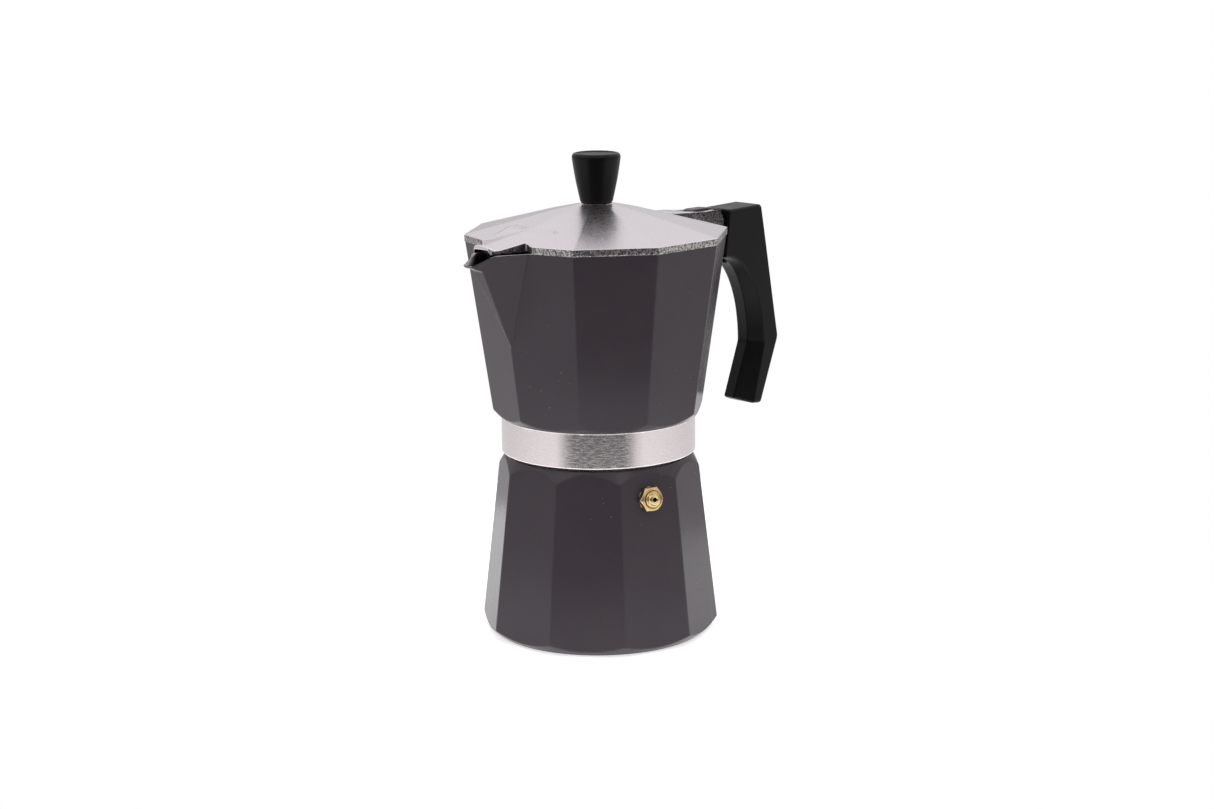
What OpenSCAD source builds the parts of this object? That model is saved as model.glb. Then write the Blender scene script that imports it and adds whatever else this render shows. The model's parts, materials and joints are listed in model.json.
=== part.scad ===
// Stove-top moka pot: boiler, funnel, collector, hinged lid, handle and safety valve.
// Frame: origin at the centre of the base, +Z up, handle towards +X, spout towards -X.

/* [Boiler] */
// Corner-to-centre radius of the boiler at its base
boiler_base_r = 52.4; // [51:0.2:54]
// Height of the boiler up to its shoulder
boiler_h = 78.5; // [78:0.5:79]
// Angle of the boiler's first corner when the thread is tight
boiler_turn = -14.75; // [-17:0.25:-13]
// Thickness of the boiler's wall at its flats
boiler_wall = 2.8; // [2.4:0.1:3]

/* [Collector] */
// Outside radius of the machined band
band_r = 42; // [41.5:0.1:42.4]
// Height of the band's lower edge
band_low_z = 79.7; // [79.4:0.1:80]
// Height of the band's upper edge
band_top_z = 95.1; // [95:0.1:96]
// Corner-to-centre radius of the collector at its rim
rim_r = 56.5; // [56:0.1:56.6]
// Height of the collector's rim
rim_z = 171.7; // [171.5:0.1:171.9]
// Thickness of the collector's wall
collector_wall = 2; // [1.8:0.1:2.2]

/* [Lid] */
// Corner-to-centre radius of the lid
lid_r = 56.85; // [56.7:0.05:57]
// Height of the lid's upper edge
lid_edge_z = 174.8; // [174.6:0.1:175]
// Thickness of the lid's plate
lid_wall = 1.7; // [1.5:0.1:1.9]
// Height of the top of the knob
knob_top_z = 208.2; // [207:0.1:210]
// Largest radius of the knob
knob_r = 10.4; // [10:0.1:11]

/* [Handle] */
// Width of the handle
handle_w = 16; // [15:0.5:18]
// Width of the flat strip along the inside of the grip
handle_inner_w = 6; // [5.5:0.5:8]
// Height of the handle's top
handle_top_z = 177.6; // [177.4:0.1:178]

/* [Hinge] */
// Distance of the hinge pin from the pot's axis
hinge_x = 67; // [66.8:0.1:67.2]
// Height of the hinge pin
hinge_z = 171.6; // [171.5:0.1:171.7]
// Radius of the hinge pin
pin_r = 1.5; // [1.2:0.1:1.6]
// Width across both lid ears
ears_w = 13; // [12.5:0.5:14]

/* [Funnel and seals] */
// Outside radius of the coffee basket under its flange
basket_r = 33.6; // [33.2:0.1:33.7]
// Depth of the coffee basket
basket_depth = 25; // [24:0.5:26]
// Height of the lower end of the dip tube
stem_low_z = 8; // [7:0.5:12]
// Thickness of the sealing ring
gasket_t = 3; // [3:0.1:3]

/* [Safety valve] */
// Size of the valve's hexagon across its flats
valve_hex = 10.4; // [10:0.1:11]
// Height of the valve on the boiler
valve_z = 66; // [64:0.5:67]

/* [Hidden] */

SIDES = 10;                     // flats round the boiler, collector and lid
FLAT = cos(180 / SIDES);        // distance to a flat over distance to a corner
ROUND = 96;                     // segments of a turned surface
FINE = 32;                      // segments of a small turned surface
EPS = 0.01;

PAINT = [0.28, 0.26, 0.28];
BARE = [0.80, 0.79, 0.79];
BLACK = [0.07, 0.07, 0.08];
BRASS = [0.78, 0.62, 0.30];
RUBBER = [0.88, 0.88, 0.85];
STEEL = [0.62, 0.62, 0.64];

// Boiler
boiler_taper = 0.1175;          // loss of corner radius per unit of height
boiler_floor = 3;
foot_r = 46.6;                  // flat ring the pot stands on
neck_r = 38.2;                  // outside of the threaded neck
neck_bore_r = 34;
neck_top_z = 90;
shoulder_low = [43.9, 72.6];    // where the turned shoulder cuts the corners
shoulder_high = [41.3, 77];     // where it cuts the middles of the flats

// Seals and filters between boiler and collector
flange_t = 0.8;
flange_r = 37.6;
gasket_z = neck_top_z + flange_t;
gasket_bore_r = 28.5;
gasket_r = 37.9;
plate_z = gasket_z + gasket_t;
plate_r = 30.5;
plate_t = 0.8;
hole_r = 0.9;                   // perforations
hole_pitch = 5.6;

// Funnel
funnel_wall = 0.8;
disc_z = neck_top_z - basket_depth;
stem_r = 6.05;
stem_bore_r = 5.3;
collar_low_z = disc_z - 13;

// Collector
collector_low_r = 45.4;         // corner radius where the flats would meet the band's top
skirt_bore_r = 38.9;
undercut_r = 46.2;              // radius where the turned undercut starts
column_foot_z = 108;
column_socket_z = 116;
column_r = 8;
column_top_r = 6.2;
column_top_z = 152;
column_bore_r = 4.5;

// Spout: lower point of the wedge, top of its narrow front, lip and rim corners
wedge_low_z = 131.4;
front_top = [-68.2, 3.1, 165.3];
lip_low = [-73.4, 2.4, 167.1];
lip_top = [-73.6, 2.3, 167.9];
rim_curve = [[-68.8, 4.4, 169.9], [-66.5, 6.1, 171.3]];
rim_front = [-65.3, 6.8, rim_z];
rim_back = [-52.2, 13.3, rim_z];
spout_wall_x = 2.8;             // shift of the channel behind the outer wedge

// Lid
lid_slope = 0.25;
crown_r = 20;                   // inside this radius the lid is a little flatter
crown_slope = 0.205;
seat_r = 7.4;
seat_z = 187;
lid_under_z = lid_z(seat_r) - lid_wall;
lid_skirt_r = 54.6;             // corner radius inside the lid's skirt
hood_back = [-38.5, 0, 179.4];
hood_side = [-49.7, 9.3, 175.9];
hood_tip = [-66.3, 4.9, 175.2];
hood_t = 1.2;
slot_w = 6.4;                   // slot between the lid's ears
lug_w = 6;
lug_top_z = 178.5;
ear_r = 6;

// Handle
arch_side = [74, 113, 24.6, 42.6];    // ellipse of the grip's inner side edges: x, z, half axes
arch_face = [72, 113, 21.1, 42.6];    // ellipse of the strip between the two chamfers
handle_end_top = [75.9, handle_top_z - 0.6];
handle_end_low = [72.8, 155.6];
handle_crown = [96.6, handle_top_z];
handle_bend = [108.9, 115.5];
handle_foot = [97.3, 85.5];
handle_foot_side = [92.2, 86];
handle_foot_face = [83.6, 89];
handle_bend_side = [99.4, 113.4];
handle_bend_face = [93, 114.2];
ARCH_STEPS = 12;
tenon_top_z = 174;
tenon_low_z = 161.5;
tenon_end_x = 87;
screw_x = 77.5;
handle_seat_z = 157;            // seat of the screw's washer inside the handle
screw_r = 1.95;

// Safety valve, along its own axis from the boiler's face outwards
valve_az = boiler_turn - 90;
valve_tilt = atan(boiler_taper * FLAT);
valve_shank_r = 4;
valve_in = -6.5;
valve_chamber_r = 2.6;
valve_seat = -5.3;
ball_r = 2;
inlet_r = 1.2;
outlet_r = 0.95;
spring_r = 1.5;
spring_wire_r = 0.25;
spring_turns = 3.5;
plug_in = 0.8;

// Corner radius of the boiler at a height
function boiler_r(z) = boiler_base_r - boiler_taper * z;
// Corner radius of the collector at a height
function collector_r(z) =
    collector_low_r + (rim_r - collector_low_r) * (z - band_top_z) / (rim_z - band_top_z);
// Height of the lid's upper surface at a corner radius
function lid_z(r) = r > crown_r
    ? lid_edge_z + lid_slope * (lid_r - r)
    : lid_z(crown_r + EPS) + crown_slope * (crown_r - r);
// A point and its mirror image across the pot's middle plane
function both(p) = [p, [p[0], -p[1], p[2]]];
function shift(points, d) = [for (p = points) p + d];

// Solid of revolution from [radius, height] points
module turned(points, segments = ROUND) {
    rotate_extrude($fn = segments) polygon(points);
}

// Straight tube between two heights
module tube(r_out, r_in, z0, z1, segments = ROUND) {
    turned([[r_in, z0], [r_out, z0], [r_out, z1], [r_in, z1]], segments);
}

// Body with SIDES flats between two heights
module faceted(r0, r1, z0, z1) {
    translate([0, 0, z0]) cylinder(h = z1 - z0, r1 = r0, r2 = r1, $fn = SIDES);
}

// Convex solid over a few corner points
module solid_over(points) {
    hull() polyhedron(points = points, faces = [for (i = [2:len(points) - 1]) [0, i - 1, i]]);
}

// Rings of small holes round the axis, for cutting
module perforations(rings, z0, z1) {
    translate([0, 0, z0]) cylinder(h = z1 - z0, r = hole_r, $fn = FINE);
    for (ring = [1:rings], i = [0:6 * ring - 1])
        rotate([0, 0, 60 * i / ring])
            translate([ring * hole_pitch, 0, z0])
                cylinder(h = z1 - z0, r = hole_r, $fn = FINE);
}

// Places children on the valve's axis, with local +Z pointing out of the boiler
module on_valve() {
    face = boiler_r(valve_z) * FLAT;
    translate([face * cos(valve_az), face * sin(valve_az), valve_z])
        rotate([0, 90 - valve_tilt, valve_az])
            children();
}

// Water chamber with a turned foot and shoulder and a plain neck that carries the thread
module boiler() {
    color(PAINT) difference() {
        union() {
            intersection() {
                rotate([0, 0, boiler_turn])
                    faceted(boiler_base_r, boiler_r(boiler_h), 0, boiler_h);
                turned([[0, 0], [foot_r, 0], [foot_r + 2.4, 1.9], [54.2, 7.1], [54.2, 55.2],
                    shoulder_low, shoulder_high, [40.4, boiler_h], [0, boiler_h]]);
            }
            tube(neck_r, neck_bore_r, boiler_h - 3, neck_top_z);
        }
        turned([[0, boiler_floor],
            [foot_r - boiler_wall + 0.4, boiler_floor],
            [boiler_r(4.8) * FLAT - boiler_wall, 4.8],
            [boiler_r(68) * FLAT - boiler_wall, 68],
            [neck_bore_r, 75],
            [neck_bore_r, neck_top_z + 1],
            [0, neck_top_z + 1]]);
        on_valve() translate([0, 0, valve_in]) cylinder(h = 12, r = valve_shank_r + 0.1, $fn = FINE);
    }
}

// Brass body: hexagon, collar and shank through the boiler's wall, bored for ball and spring
module safety_valve_body() {
    hex_r = valve_hex / 2 / cos(30);
    color(BRASS) on_valve() difference() {
        union() {
            intersection() {
                translate([0, 0, 0.6]) rotate([0, 0, 30]) cylinder(h = 2.7, r = hex_r, $fn = 6);
                turned([[0, 0.6], [hex_r - 0.1, 0.6], [hex_r - 0.1, 2.7], [hex_r - 0.8, 3.3], [0, 3.3]], FINE);
            }
            tube(4.6, 3.9, 3, 3.8, FINE);
            translate([0, 0, valve_in]) cylinder(h = 0.7 - valve_in, r = valve_shank_r, $fn = FINE);
        }
        translate([0, 0, valve_seat]) cylinder(h = 10, r = valve_chamber_r, $fn = FINE);
        translate([0, 0, valve_in - 1]) cylinder(h = 3, r = inlet_r, $fn = FINE);
    }
}

// Sealing washer between the hexagon and the boiler's face
module safety_valve_washer() {
    color(BARE) on_valve() tube(5.1, valve_shank_r + 0.1, 0, 0.6, FINE);
}

// Ball that closes the inlet
module safety_valve_ball() {
    seat_gap = 0.02;
    ball_z = valve_seat + sqrt(ball_r * ball_r - inlet_r * inlet_r) + seat_gap;
    color(STEEL) on_valve() translate([0, 0, ball_z]) sphere(r = ball_r, $fn = FINE);
}

// Coil spring between the ball and the plug
module safety_valve_spring() {
    low = valve_seat + 3.4;
    high = plug_in - spring_wire_r - 0.05;
    steps = 16 * spring_turns;
    ring = 8;
    points = [for (i = [0:steps], k = [0:ring - 1])
        let (turn = 360 * spring_turns * i / steps,
             r = spring_r + spring_wire_r * cos(360 * k / ring),
             z = low + (high - low) * i / steps + spring_wire_r * sin(360 * k / ring))
        [r * cos(turn), r * sin(turn), z]];
    sides = [for (i = [0:steps - 1], k = [0:ring - 1])
        let (a = i * ring + k, b = i * ring + (k + 1) % ring)
        [a, a + ring, b + ring, b]];
    ends = [[for (k = [0:ring - 1]) k], [for (k = [0:ring - 1]) (steps + 1) * ring - 1 - k]];
    color(STEEL) on_valve() polyhedron(points = points, faces = concat(sides, ends));
}

// Outlet bush with a domed nozzle, which keeps the spring in
module safety_valve_plug() {
    color(BRASS) on_valve() turned([[outlet_r, plug_in], [valve_chamber_r - 0.05, plug_in],
        [valve_chamber_r - 0.05, 3.3], [3.55, 3.3], [3.55, 3.9], [3.2, 4.35], [2.75, 4.5],
        [2.3, 5.2], [1.5, 5.5], [outlet_r, 5.2]], FINE);
}

// Coffee basket: flange on the boiler's neck, wall, step for the disc, cone and collar
module funnel_cup() {
    w = funnel_wall;
    z0 = disc_z;
    outside = [[flange_r, neck_top_z + flange_t], [flange_r, neck_top_z], [basket_r, neck_top_z],
        [basket_r - 1, z0 + 1], [basket_r - 2.6, z0 - 1], [12, z0 - 6.5],
        [stem_r + w, z0 - 8], [stem_r + w, collar_low_z]];
    inside = [[stem_r, collar_low_z], [stem_r, z0 - 7.3], [11.8, z0 - 5.6],
        [basket_r - 3.6, z0 - 0.2], [basket_r - 3.6, z0], [basket_r - 1.8, z0],
        [basket_r - 1.8, z0 + 1.5], [basket_r - w, neck_top_z - 0.2],
        [basket_r - w, neck_top_z + flange_t]];
    color(BARE) turned(concat(outside, inside));
}

// Dip tube, flared where it sits in the basket's cone
module funnel_stem() {
    color(BARE) turned([[stem_bore_r, stem_low_z], [stem_r - 0.03, stem_low_z],
        [stem_r - 0.03, disc_z - 6.9], [7.2, disc_z - 6.7], [7.2, disc_z - 6.2],
        [stem_bore_r, disc_z - 6.2]], 48);
}

// Perforated disc at the bottom of the basket
module basket_filter() {
    color(BARE) difference() {
        translate([0, 0, disc_z]) cylinder(h = plate_t, r = basket_r - 2.1, $fn = ROUND);
        perforations(5, disc_z - 1, disc_z + 2);
    }
}

// Sealing ring on the basket's flange
module gasket() {
    color(RUBBER) tube(gasket_r, gasket_bore_r, gasket_z, gasket_z + gasket_t);
}

// Perforated plate held above the ring, with a stiffening bead round its edge
module filter_plate() {
    color(BARE) difference() {
        turned([[0, plate_z], [plate_r, plate_z], [plate_r, plate_z + 1.1], [plate_r - 0.8, plate_z + 1.1],
            [plate_r - 1.2, plate_z + plate_t], [0, plate_z + plate_t]]);
        perforations(4, plate_z - 1, plate_z + 2);
    }
}

// Outer wedge of the spout below the rim; raise lifts its upper corners for cutting
module spout_wedge(raise) {
    low = [-collector_r(wedge_low_z), 0, wedge_low_z];
    up = [0, 0, raise];
    solid_over(concat([low, [-44, 0, wedge_low_z], [-44, 0, rim_z + raise]], both(front_top),
        both(rim_front), both(rim_back),
        raise > 0 ? shift(concat(both(front_top), both(rim_front), both(rim_back)), up) : []));
}

// Flared lip in front of the wedge
module spout_lip() {
    solid_over(concat(both(front_top), both(lip_low), both(lip_top), both(rim_curve[0]),
        both(rim_curve[1]), both(rim_front), [[-60, 0, rim_z], [-62, 0, 160]]));
}

// Pouring channel through the lip
module lip_channel() {
    solid_over(concat(both([-64.5, 2.6, 166.3]), both([-76, 1.4, 169.3]),
        both([-64.5, 5.8, 174]), both([-76, 3.2, 174])));
}

// Cast lug that carries the lid and the handle
module lug() {
    translate([0, lug_w / 2, 0]) rotate([90, 0, 0]) linear_extrude(lug_w)
        polygon([[50, 146], [53.6, 147], [55.6, 154], [60, 158.5], [68, tenon_low_z],
            [tenon_end_x, tenon_low_z], [tenon_end_x, tenon_top_z], [75.8, tenon_top_z],
            [75.8, 176.6], [72.5, 177.6], [66, lug_top_z], [57, lug_top_z], [54.6, lug_top_z - 0.6],
            [54.6, rim_z], [50, rim_z]]);
}

// Coffee chamber with the machined band, spout, lug and the socket of the column
module collector() {
    inner_drop = collector_wall / FLAT;
    color(PAINT) difference() {
        union() {
            intersection() {
                faceted(collector_low_r, rim_r, band_top_z, rim_z);
                turned([[0, band_top_z - 1], [band_r + 0.4, band_top_z], [undercut_r, band_top_z + 3.8],
                    [undercut_r + 14, band_top_z + 40], [undercut_r + 14, rim_z], [0, rim_z]]);
            }
            tube(band_r, skirt_bore_r - 1, band_low_z, band_top_z + 1);
            spout_wedge(0);
            spout_lip();
            lug();
        }
        // chamber above the cast floor
        difference() {
            faceted(collector_r(97) - inner_drop, collector_r(rim_z + 1) - inner_drop, 97, rim_z + 1);
            turned([[0, 96], [48, 96], [48, 101], [39, 101], [36, 101.5], [25, 104.5],
                [15, 108.5], [11.5, 112], [10.8, column_socket_z], [0, column_socket_z]]);
        }
        // spout
        translate([spout_wall_x, 0, 0]) spout_wedge(5);
        lip_channel();
        // bore for the boiler's neck, recess for the plate and the channel up to the column
        turned([[0, band_low_z - 1], [skirt_bore_r + 0.6, band_low_z - 1], [skirt_bore_r, band_low_z + 0.6],
            [skirt_bore_r, plate_z], [plate_r + 0.5, plate_z], [plate_r + 0.5, plate_z + 1.3],
            [27, plate_z + 2.2], [16, 101.5], [8, 106.2], [column_bore_r, column_foot_z],
            [column_bore_r, column_socket_z + 1], [0, column_socket_z + 1]]);
        translate([0, 0, column_foot_z]) cylinder(h = 20, r = column_r, $fn = ROUND);
        // pin and screw
        translate([hinge_x, 10, hinge_z]) rotate([90, 0, 0]) cylinder(h = 20, r = pin_r, $fn = FINE);
        translate([screw_x, 0, tenon_low_z - 1]) cylinder(h = 11, r = screw_r + 0.02, $fn = FINE);
    }
}

// Riser with a closed top and two side outlets, pressed into the collector
module coffee_column() {
    outlet_z = column_top_z - 7;
    color(BARE) difference() {
        turned([[column_bore_r, column_foot_z], [column_r, column_foot_z], [column_r, column_socket_z],
            [column_r - 0.2, column_socket_z + 1], [column_top_r, column_top_z - 2],
            [column_top_r - 1.4, column_top_z - 0.5], [column_top_r - 3.2, column_top_z],
            [0, column_top_z], [0, column_top_z - 2], [3, column_top_z - 2.6],
            [column_bore_r, column_top_z - 4.5]], 64);
        translate([0, 10, outlet_z]) rotate([90, 0, 0]) cylinder(h = 20, r = 2.6, $fn = FINE);
    }
}

// Point on one of the grip's ellipses, in the plane of the handle
function arch(e, t) = [e[0] + e[2] * cos(t), e[1] + e[3] * sin(t)];
// Point of the handle's back for a share of the way from its end over the crown to the bend
function back(u) = u < 0.45
    ? handle_end_top + (handle_crown - handle_end_top) * u / 0.45
    : handle_crown + (handle_bend - handle_crown) * (u - 0.45) / 0.55;

// Black grip: flat sides, chamfered towards the fingers, pocket for the lug and screw seat
module handle() {
    w = handle_w / 2;
    f = handle_inner_w / 2;
    rows = concat(
        [[handle_end_top, handle_end_low, handle_end_low - [0.2, 0.1]]],
        [for (i = [1:ARCH_STEPS - 1])
            let (u = i / ARCH_STEPS, t = 90 * (1 - u) + 2)
            [u > 0.4 && u < 0.5 ? handle_crown : back(u), arch(arch_side, t), arch(arch_face, t)]],
        [[handle_bend, handle_bend_side, handle_bend_face],
         [handle_foot, handle_foot_side, handle_foot_face]]);
    n = len(rows);
    points = [for (r = rows, s = [[0, w], [0, -w], [1, -w], [2, -f], [2, f], [1, w]])
        [r[s[0]][0], s[1], r[s[0]][1]]];
    sides = [for (i = [0:n - 2], k = [0:5])
        let (a = 6 * i + k, b = 6 * i + (k + 1) % 6)
        [b, b + 6, a + 6, a]];
    ends = [[for (k = [0:5]) k], [for (k = [0:5]) 6 * n - 1 - k]];
    color(BLACK) difference() {
        polyhedron(points = points, faces = concat(sides, ends));
        translate([70, -lug_w / 2 - 0.05, tenon_low_z - 0.05])
            cube([tenon_end_x - 70 + 0.3, lug_w + 0.1, tenon_top_z - tenon_low_z + 0.1]);
        translate([70, -lug_w / 2 - 0.05, tenon_top_z - 1]) cube([6.6, lug_w + 0.1, 10]);
        translate([screw_x, 0, 140]) cylinder(h = handle_seat_z - 140, r = 3.3, $fn = FINE);
        translate([screw_x, 0, 150]) cylinder(h = 15, r = screw_r + 0.2, $fn = FINE);
    }
}

// Pan-head screw along +Z with a cross recess, head below z = 0 and shank above
module pan_screw(head_r, head_h, shank_r, shank_l) {
    difference() {
        turned([[0, -head_h], [head_r * 0.6, -head_h], [head_r * 0.9, -head_h * 0.7], [head_r, -head_h * 0.3],
            [head_r, 0], [shank_r, 0], [shank_r, shank_l - 1], [shank_r - 0.6, shank_l], [0, shank_l]], FINE);
        for (a = [0, 90])
            rotate([0, 0, a]) translate([-head_r * 0.5, -0.45, -head_h - 1]) cube([head_r, 0.9, 2.2]);
    }
}

// Screw from below through the handle into the lug
module handle_screw() {
    color(STEEL) translate([screw_x, 0, handle_seat_z - 0.7]) pan_screw(2.9, 2.2, screw_r, 13);
}

// Washer between the screw's head and the handle
module handle_washer() {
    color(STEEL) translate([screw_x, 0, 0])
        tube(3.1, screw_r + 0.15, handle_seat_z - 0.7, handle_seat_z, FINE);
}

// Pin through the lug and both ears
module hinge_pin() {
    color(STEEL) translate([hinge_x, ears_w / 2 + 0.2, hinge_z]) rotate([90, 0, 0])
        turned([[0, 0], [pin_r - 0.4, 0], [pin_r, 0.4], [pin_r, ears_w], [pin_r - 0.4, ears_w + 0.4],
            [0, ears_w + 0.4]], FINE);
}

// Pointed decagonal roof solid between two thicknesses below the lid's upper surface
module lid_roof(edge_r, drop, low_z) {
    hull() {
        faceted(edge_r, edge_r, low_z, lid_z(edge_r) - drop);
        faceted(crown_r, seat_r, lid_z(crown_r) - drop, lid_z(seat_r) - drop);
    }
}

// Raised hood over the spout with thickened tip and side skirts
module hood() {
    down = [0, 0, -hood_t];
    top = concat([hood_back], both(hood_side), both(hood_tip));
    solid_over(concat(top, shift(top, down)));
    tip_bar = concat(both(hood_tip), both(hood_tip + [1.6, 0.1, 0.1]));
    solid_over(concat(tip_bar, shift(tip_bar, [0.3, 0, -1.7])));
    for (s = [-1, 1])
        solid_over(concat(
            [for (z = [172.3, 175]) [hood_side[0] - 0.6, s * (hood_side[1] - 1.1), z]],
            [for (z = [172.3, 175]) [hood_side[0] - 0.6, s * (hood_side[1] - 1.9), z]],
            [for (z = [173.6, 174.6]) [hood_tip[0] + 2.5, s * (hood_tip[1] - 0.5), z]],
            [for (z = [173.6, 174.6]) [hood_tip[0] + 2.5, s * (hood_tip[1] - 1.3), z]]));
}

// Raised tongue on the lid that ends in two ears round the hinge pin
module ears() {
    translate([0, ears_w / 2, 0]) rotate([90, 0, 0]) linear_extrude(ears_w) {
        polygon([[41, 178.95], [49, 178.5], [58, 177.5], [67, 177.6], [67, 167.6],
            [62.4, 167.7], [57.3, 171.8], [57.3, 173.4], [54, 174.6], [42, 177.4]]);
        translate([hinge_x, hinge_z]) circle(r = ear_r, $fn = 64);
    }
}

// Ten-sided lid with a hood over the spout and hinge ears
module lid() {
    color(BARE) difference() {
        union() {
            difference() {
                lid_roof(lid_r, 0, rim_z);
                lid_roof(lid_skirt_r, lid_wall, rim_z - 1);
                translate([0, 0, rim_z - 1]) linear_extrude(20)
                    polygon([[-39.9, 0], [-49.4, 8.5], [-53.9, 13.4], [-80, 22],
                        [-80, -22], [-53.9, -13.4], [-49.4, -8.5]]);
            }
            hood();
            ears();
            translate([0, 0, seat_z - 2]) cylinder(h = 2, r = seat_r, $fn = 64);
        }
        translate([51.5, -slot_w / 2, 160]) cube([30, slot_w, 30]);
        translate([hinge_x, 10, hinge_z]) rotate([90, 0, 0])
            cylinder(h = 20, r = pin_r + 0.05, $fn = FINE);
        translate([0, 0, seat_z - 5]) cylinder(h = 10, r = screw_r + 0.2, $fn = FINE);
    }
}

// Tapered knob with a rounded rim and a shallow dish on top
module lid_knob() {
    top = knob_top_z;
    rim = knob_r - 1.6;
    color(BLACK) difference() {
        turned([[0, seat_z], [6.3, seat_z], [6.9, seat_z + 0.5], [7.3, seat_z + 2], [7.9, seat_z + 4.5],
            [8.6, seat_z + 8], [9.3, seat_z + 12], [9.95, seat_z + 16], [knob_r - 0.05, top - 2.4],
            [knob_r, top - 1.6], [knob_r - 0.25, top - 0.8], [knob_r - 0.8, top - 0.2],
            [rim, top], [rim - 0.5, top - 0.1], [rim - 1.1, top - 0.6], [0, top - 0.6]], 64);
        translate([0, 0, seat_z - 1]) cylinder(h = 1 + 11.1, r = 3.2, $fn = FINE);
    }
}

// Threaded insert in the knob
module knob_insert() {
    color(BRASS) tube(3.17, screw_r + 0.03, seat_z + 0.1, seat_z + 11, FINE);
}

// Screw from below the lid into the knob's insert
module knob_screw() {
    color(STEEL) translate([0, 0, lid_under_z - 0.6]) pan_screw(3.6, 2.4, screw_r, 12);
}

// Washer under the lid
module knob_washer() {
    color(STEEL) tube(4.6, screw_r + 0.15, lid_under_z - 0.6, lid_under_z, FINE);
}

boiler();
safety_valve_body();
safety_valve_washer();
safety_valve_ball();
safety_valve_spring();
safety_valve_plug();
funnel_cup();
funnel_stem();
basket_filter();
gasket();
filter_plate();
collector();
coffee_column();
handle();
handle_screw();
handle_washer();
hinge_pin();
lid();
lid_knob();
knob_insert();
knob_screw();
knob_washer();
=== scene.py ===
import json
import math

import bmesh
import bpy
import numpy as np
from mathutils import Matrix, Vector


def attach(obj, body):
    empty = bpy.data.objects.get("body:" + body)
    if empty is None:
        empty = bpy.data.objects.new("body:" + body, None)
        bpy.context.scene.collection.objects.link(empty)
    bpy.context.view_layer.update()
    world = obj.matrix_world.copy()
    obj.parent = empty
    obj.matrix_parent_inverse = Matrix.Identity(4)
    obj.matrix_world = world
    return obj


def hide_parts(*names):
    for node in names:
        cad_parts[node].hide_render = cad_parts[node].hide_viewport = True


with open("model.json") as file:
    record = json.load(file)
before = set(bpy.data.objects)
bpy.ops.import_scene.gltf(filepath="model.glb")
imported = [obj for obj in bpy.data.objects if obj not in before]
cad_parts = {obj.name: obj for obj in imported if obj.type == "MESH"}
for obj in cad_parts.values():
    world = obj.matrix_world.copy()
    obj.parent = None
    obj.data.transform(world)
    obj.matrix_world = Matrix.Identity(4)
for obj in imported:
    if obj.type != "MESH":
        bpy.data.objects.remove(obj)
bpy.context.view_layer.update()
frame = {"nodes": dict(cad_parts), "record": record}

MM = 0.001
TAU = 2 * math.pi
FLAT = math.cos(math.pi / 10)                # a flat's distance over a corner's, on ten sides
PITCH = 3.0                                  # of the screw thread
CORNER_COLUMNS = (-1.0, -0.6, -0.3, -0.1, 0.1, 0.3, 0.6, 1.0)    # mesh columns beside each corner
BOILER_TURN = math.radians(-14.75)
BOILER_CORNER, BOILER_TAPER = 52.4, 0.1175   # corner radius at the table, and its loss per mm of height
VALVE_Z = 66.0
COLLECTOR_Z = 95.1                           # lower end of the collector's flat sides
COLLECTOR_TOP = 171.7
UNDERCUT_Z, UNDERCUT_R = (95.1, 98.9, 135.1, 200), (42.4, 46.2, 60.2, 90)
SPOUT_FOOT_Z = 131.4
SPOUT_HALF = 17                              # degrees from -X that the spout can take up
LID_CORNER, CROWN_CORNER = 56.85, 20         # corner radii of the lid's rim and of its steeper crown
LID_RIM_Z, LID_SLOPE, CROWN_SLOPE = 174.8, 0.25, 0.205
HOOD_BACK_X = -38.5
LID_WALL = 1.6                               # drop from the lid's roof to its inside
KNOB_SEAT = 187.0                            # flat on the lid's crown
HINGE_X, HINGE_Z = 67, 171.6


# ---------------------------------------------------------------- small maths
def smin(a, b, k):
    """Smallest of a and b, rounded over where they are within k of each other."""
    h = np.clip(k - np.abs(a - b), 0, None) / k
    return np.minimum(a, b) - h * h * k / 4


def smax(a, b, k):
    """Largest of a and b, rounded in the same way."""
    return -smin(-a, -b, k)


def step(x, a, b):
    """Smooth step from 0 at a to 1 at b."""
    t = np.clip((x - a) / (b - a), 0, 1)
    return t * t * (3 - 2 * t)


def fillet(points, radii, n=4, closed=False):
    """A polyline with each corner rounded by its radius (one number, or one per point)."""
    count = len(points)
    if not hasattr(radii, "__len__"):
        radii = [radii] * count
    out = []
    for i, p in enumerate(points):
        r = radii[i]
        if r <= 0 or (not closed and i in (0, count - 1)):
            out.append(Vector(p))
            continue
        p, a, b = Vector(p), Vector(points[i - 1]), Vector(points[(i + 1) % count])
        da, db = (a - p), (b - p)
        la, lb = da.length, db.length
        if la < 1e-9 or lb < 1e-9:
            out.append(p)
            continue
        da, db = da / la, db / lb
        half = math.acos(max(-1, min(1, da.dot(db)))) / 2
        cut = min(r / max(math.tan(half), 1e-6), 0.48 * la, 0.48 * lb)
        rad = cut * math.tan(half)
        if math.cos(half) < 1e-3 or rad < 1e-6:
            out.append(p)
            continue
        centre = p + (da + db).normalized() * (rad / math.sin(half))
        s, e = p + da * cut - centre, p + db * cut - centre
        sweep = s.angle(e)
        for k in range(n + 1):
            t = k / n
            w0, w1 = math.sin((1 - t) * sweep), math.sin(t * sweep)
            out.append(centre + (s * w0 + e * w1) / math.sin(sweep))
    return out


def arc(*degrees):
    """Sine and cosine of each angle, for rounding an edge in steps."""
    return [(math.sin(math.radians(t)), math.cos(math.radians(t))) for t in degrees]


# ---------------------------------------------------------------- mesh making
def new_object(name, data):
    obj = bpy.data.objects.new(name, data)
    bpy.context.scene.collection.objects.link(obj)
    return obj


def temporary(bm):
    """Object for a boolean, made from a bmesh in millimetres."""
    mesh = bpy.data.meshes.new("tmp")
    bm.to_mesh(mesh)
    bm.free()
    return new_object("tmp", mesh)


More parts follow.
